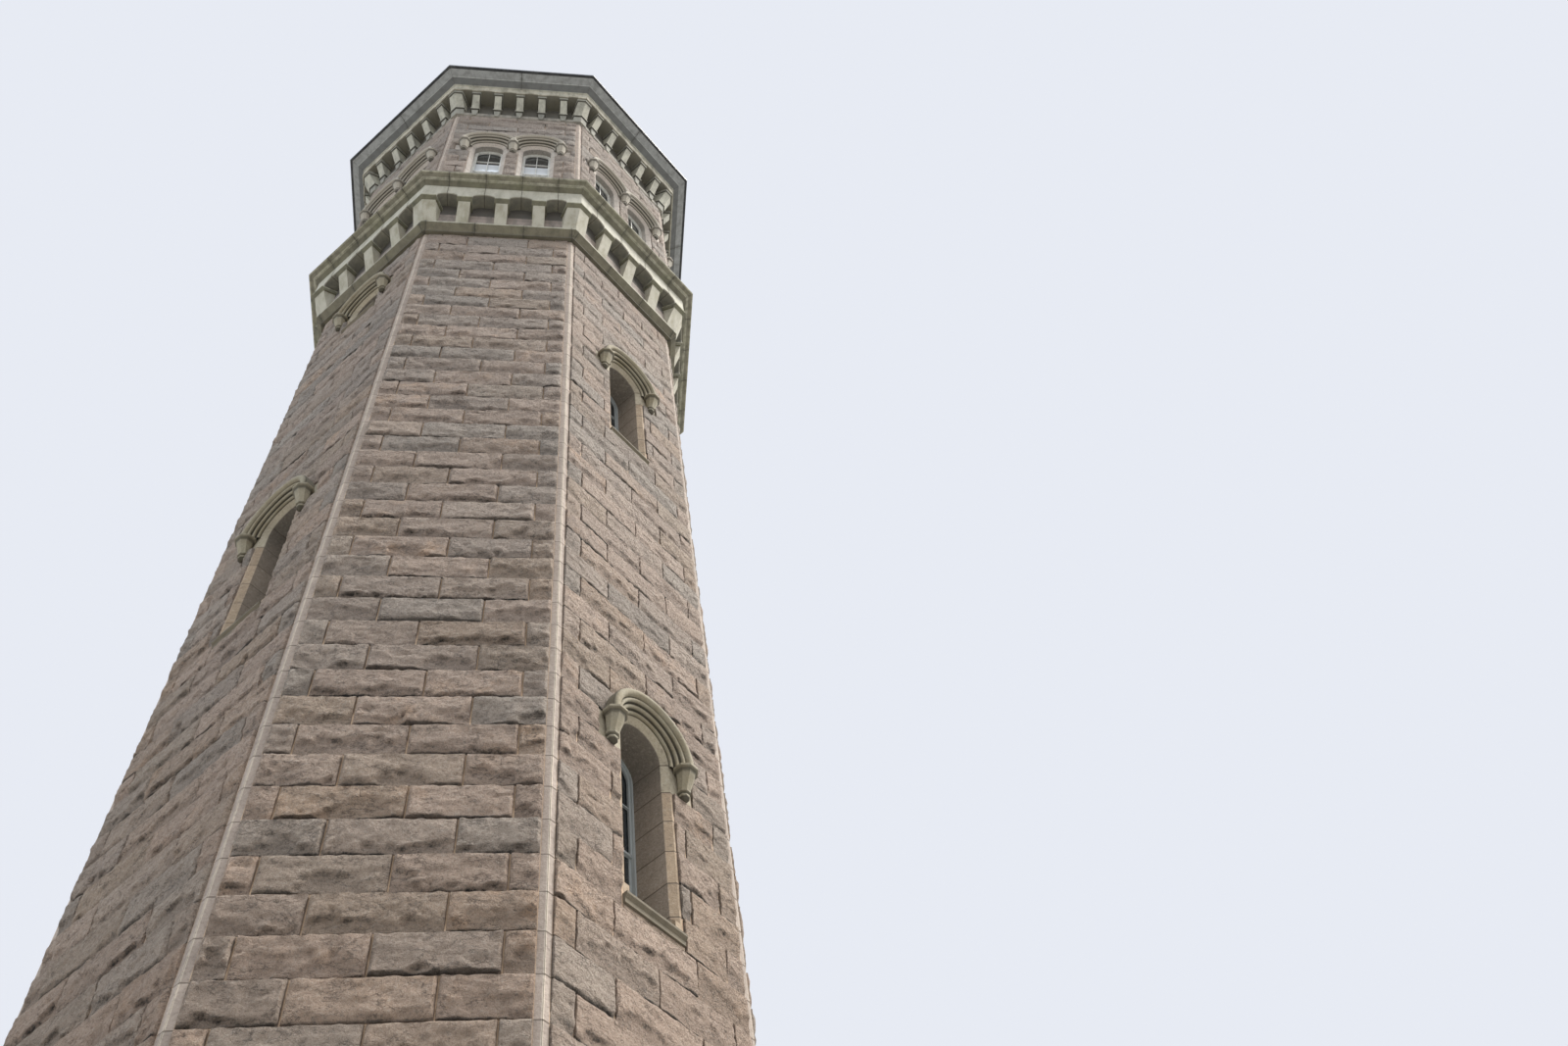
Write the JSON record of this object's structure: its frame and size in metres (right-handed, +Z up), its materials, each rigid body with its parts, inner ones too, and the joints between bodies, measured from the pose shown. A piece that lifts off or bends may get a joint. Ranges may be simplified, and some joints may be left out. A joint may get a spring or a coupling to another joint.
{
  "type": "octagonal stone water tower, 1:10 scale model",
  "caption": "Eight-sided rock-faced stone water tower with arched windows, two corbelled cornices and a lantern roof.",
  "frame": {"origin": "ground level on the tower's axis, in the middle of its base", "axes": "+Z up along the tower's axis; -Y out of the entrance side; +X to the right of it"},
  "size_m": [1.1496, 1.1496, 6.079],
  "materials": {
    "rock_faced_stone": "rough, hammer-faced granite with weathered blotches",
    "dressed_stone": "finely tooled granite",
    "carved_stone": "smooth dressed stone, lightly weathered",
    "frieze_stone": "squared stone in the shade of the cornice",
    "mossy_stone": "dressed stone with green and dark stains",
    "cornice_stone": "smooth grey dressed stone",
    "floor_stone": "plain stone slab",
    "sash_paint": "white paint, weathered",
    "door_paint": "dark green paint",
    "window_glass": "clear old glass",
    "gutter_metal": "dark satin paint",
    "roof_slate": "split slate",
    "lantern_wood": "weathered grey paint"
  },
  "bodies": {
    "root": {"belvedere_floor": "floor_stone", "belvedere_frames": "sash_paint", "belvedere_hoods": "carved_stone", "belvedere_panes": "window_glass", "belvedere_sills": "mossy_stone", "belvedere_walls": "rock_faced_stone", "corbel_arches": "carved_stone", "corbel_caps": "carved_stone", "doorstep": "dressed_stone", "doorway_surround": "dressed_stone", "entrance_doors": "door_paint", "finial": "gutter_metal", "ground_floor": "floor_stone", "gutter_rim": "gutter_metal", "lantern_curb": "gutter_metal", "lantern_eaves": "lantern_wood", "lantern_louvres": "lantern_wood", "lantern_posts": "lantern_wood", "lantern_spire": "roof_slate", "lower_coping": "mossy_stone", "lower_corbels": "carved_stone", "lower_frieze": "frieze_stone", "plinth": "dressed_stone", "roof_slopes": "roof_slate", "shaft_wall_back": "rock_faced_stone", "shaft_wall_back_left": "rock_faced_stone", "shaft_wall_back_right": "rock_faced_stone", "shaft_wall_front": "rock_faced_stone", "shaft_wall_front_left": "rock_faced_stone", "shaft_wall_front_right": "rock_faced_stone", "shaft_wall_left": "rock_faced_stone", "shaft_wall_right": "rock_faced_stone", "shaft_window_frames": "sash_paint", "shaft_window_hoods": "carved_stone", "shaft_window_panes": "window_glass", "shaft_window_sills": "mossy_stone", "string_course": "mossy_stone", "upper_corbels": "cornice_stone", "upper_cornice": "cornice_stone", "upper_fascia": "cornice_stone", "upper_string": "carved_stone"}
  },
  "joints": []
}
